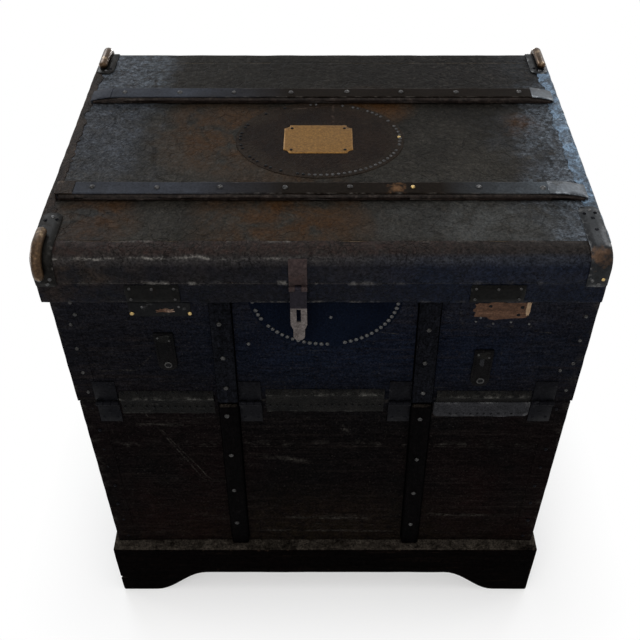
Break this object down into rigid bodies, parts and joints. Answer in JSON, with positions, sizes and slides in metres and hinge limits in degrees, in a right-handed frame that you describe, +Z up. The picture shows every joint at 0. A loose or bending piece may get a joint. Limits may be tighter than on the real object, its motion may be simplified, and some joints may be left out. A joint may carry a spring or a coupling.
{
  "type": "travel trunk",
  "caption": "Black canvas travel trunk with wooden slats, iron straps, a hinged lid with hasp, a fall front, bail handles and a wooden plinth with bracket feet.",
  "frame": {"origin": "on the floor under the middle of the trunk's bounding box", "axes": "+Z up, +X to the trunk's right as seen from the front, front faces -Y"},
  "size_m": [0.8406, 0.6178, 0.8854],
  "materials": {
    "canvas": "boards covered in black waxed canvas, worn and scuffed",
    "bare_wood": "bare pine, unfinished",
    "plinth_wood": "dark stained wood, dusty on the ledge",
    "slat_wood": "dark painted hardwood, worn on the edges",
    "leather": "dark cracked leather",
    "iron": "blackened wrought iron, rubbed bright on the edges",
    "rusty_iron": "rusty iron with red-brown paint",
    "bronze": "dull bronze, rubbed",
    "brass": "tarnished brass, bare"
  },
  "bodies": {
    "trunk": {"back_panel": "canvas", "bottom_board": "bare_wood", "fall_hinge_lower_inner_left": "iron", "fall_hinge_lower_inner_right": "iron", "fall_hinge_lower_outer_left": "iron", "fall_hinge_lower_outer_right": "iron", "front_post_left": "bare_wood", "front_post_right": "bare_wood", "handle_plate_left": "iron", "handle_plate_right": "iron", "lid_hinge_body_left": "iron", "lid_hinge_body_right": "iron", "lower_front": "canvas", "lower_left": "canvas", "lower_right": "canvas", "lower_slat_left": "slat_wood", "lower_slat_right": "slat_wood", "plinth_back": "plinth_wood", "plinth_front": "plinth_wood", "plinth_left": "plinth_wood", "plinth_right": "plinth_wood", "upper_left": "canvas", "upper_right": "canvas"},
    "lid": {"bumper_back_left": "bronze", "bumper_back_right": "bronze", "bumper_front_left": "bronze", "corner_guard_back_left": "iron", "corner_guard_back_right": "iron", "corner_guard_front_left": "iron", "corner_guard_front_right": "iron", "hasp_plate": "rusty_iron", "lid_back_rail": "canvas", "lid_front_lip": "canvas", "lid_front_rail": "canvas", "lid_hinge_lid_left": "iron", "lid_hinge_lid_right": "iron", "lid_left_end": "canvas", "lid_lock_plate_left": "iron", "lid_lock_plate_right": "iron", "lid_right_end": "canvas", "lid_slat_back": "slat_wood", "lid_slat_front": "slat_wood", "lid_strap_back": "iron", "lid_strap_front": "iron", "lid_top_board": "canvas", "nameplate": "brass"},
    "fall_front": {"fall_hinge_upper_inner_left": "iron", "fall_hinge_upper_inner_right": "iron", "fall_hinge_upper_outer_left": "iron", "fall_hinge_upper_outer_right": "iron", "fall_panel": "canvas", "fall_slat_left": "slat_wood", "fall_slat_right": "slat_wood", "strap_chape_left": "leather", "strap_chape_right": "leather"},
    "hasp": {"hasp_tongue": "iron"},
    "handle_left": {"handle_bail_left": "iron"},
    "handle_right": {"handle_bail_right": "iron"}
  },
  "joints": [
    {"name": "lid_hinge", "type": "hinge", "parent": "trunk", "child": "lid", "pos_m": [0, 0.2919, 0.7849], "axis": [-1, 0, 0], "range_deg": [0, 110]},
    {"name": "fall_hinge", "type": "hinge", "parent": "trunk", "child": "fall_front", "pos_m": [0, -0.2841, 0.5545], "axis": [1, 0, 0], "range_deg": [0, 88]},
    {"name": "hasp_hinge", "type": "hinge", "parent": "lid", "child": "hasp", "pos_m": [-0.038, -0.3011, 0.8173], "axis": [-1, 0, 0], "range_deg": [0, 170]},
    {"name": "handle_left_hinge", "type": "hinge", "parent": "trunk", "child": "handle_left", "pos_m": [-0.4123, 0.0039, 0.6745], "axis": [0, 1, 0], "range_deg": [0, 110]},
    {"name": "handle_right_hinge", "type": "hinge", "parent": "trunk", "child": "handle_right", "pos_m": [0.4123, 0.0039, 0.6745], "axis": [0, -1, 0], "range_deg": [0, 110]}
  ],
  "couplings": [
    {"joint": "fall_hinge", "follows": "lid_hinge", "ratio": 0.8}
  ]
}
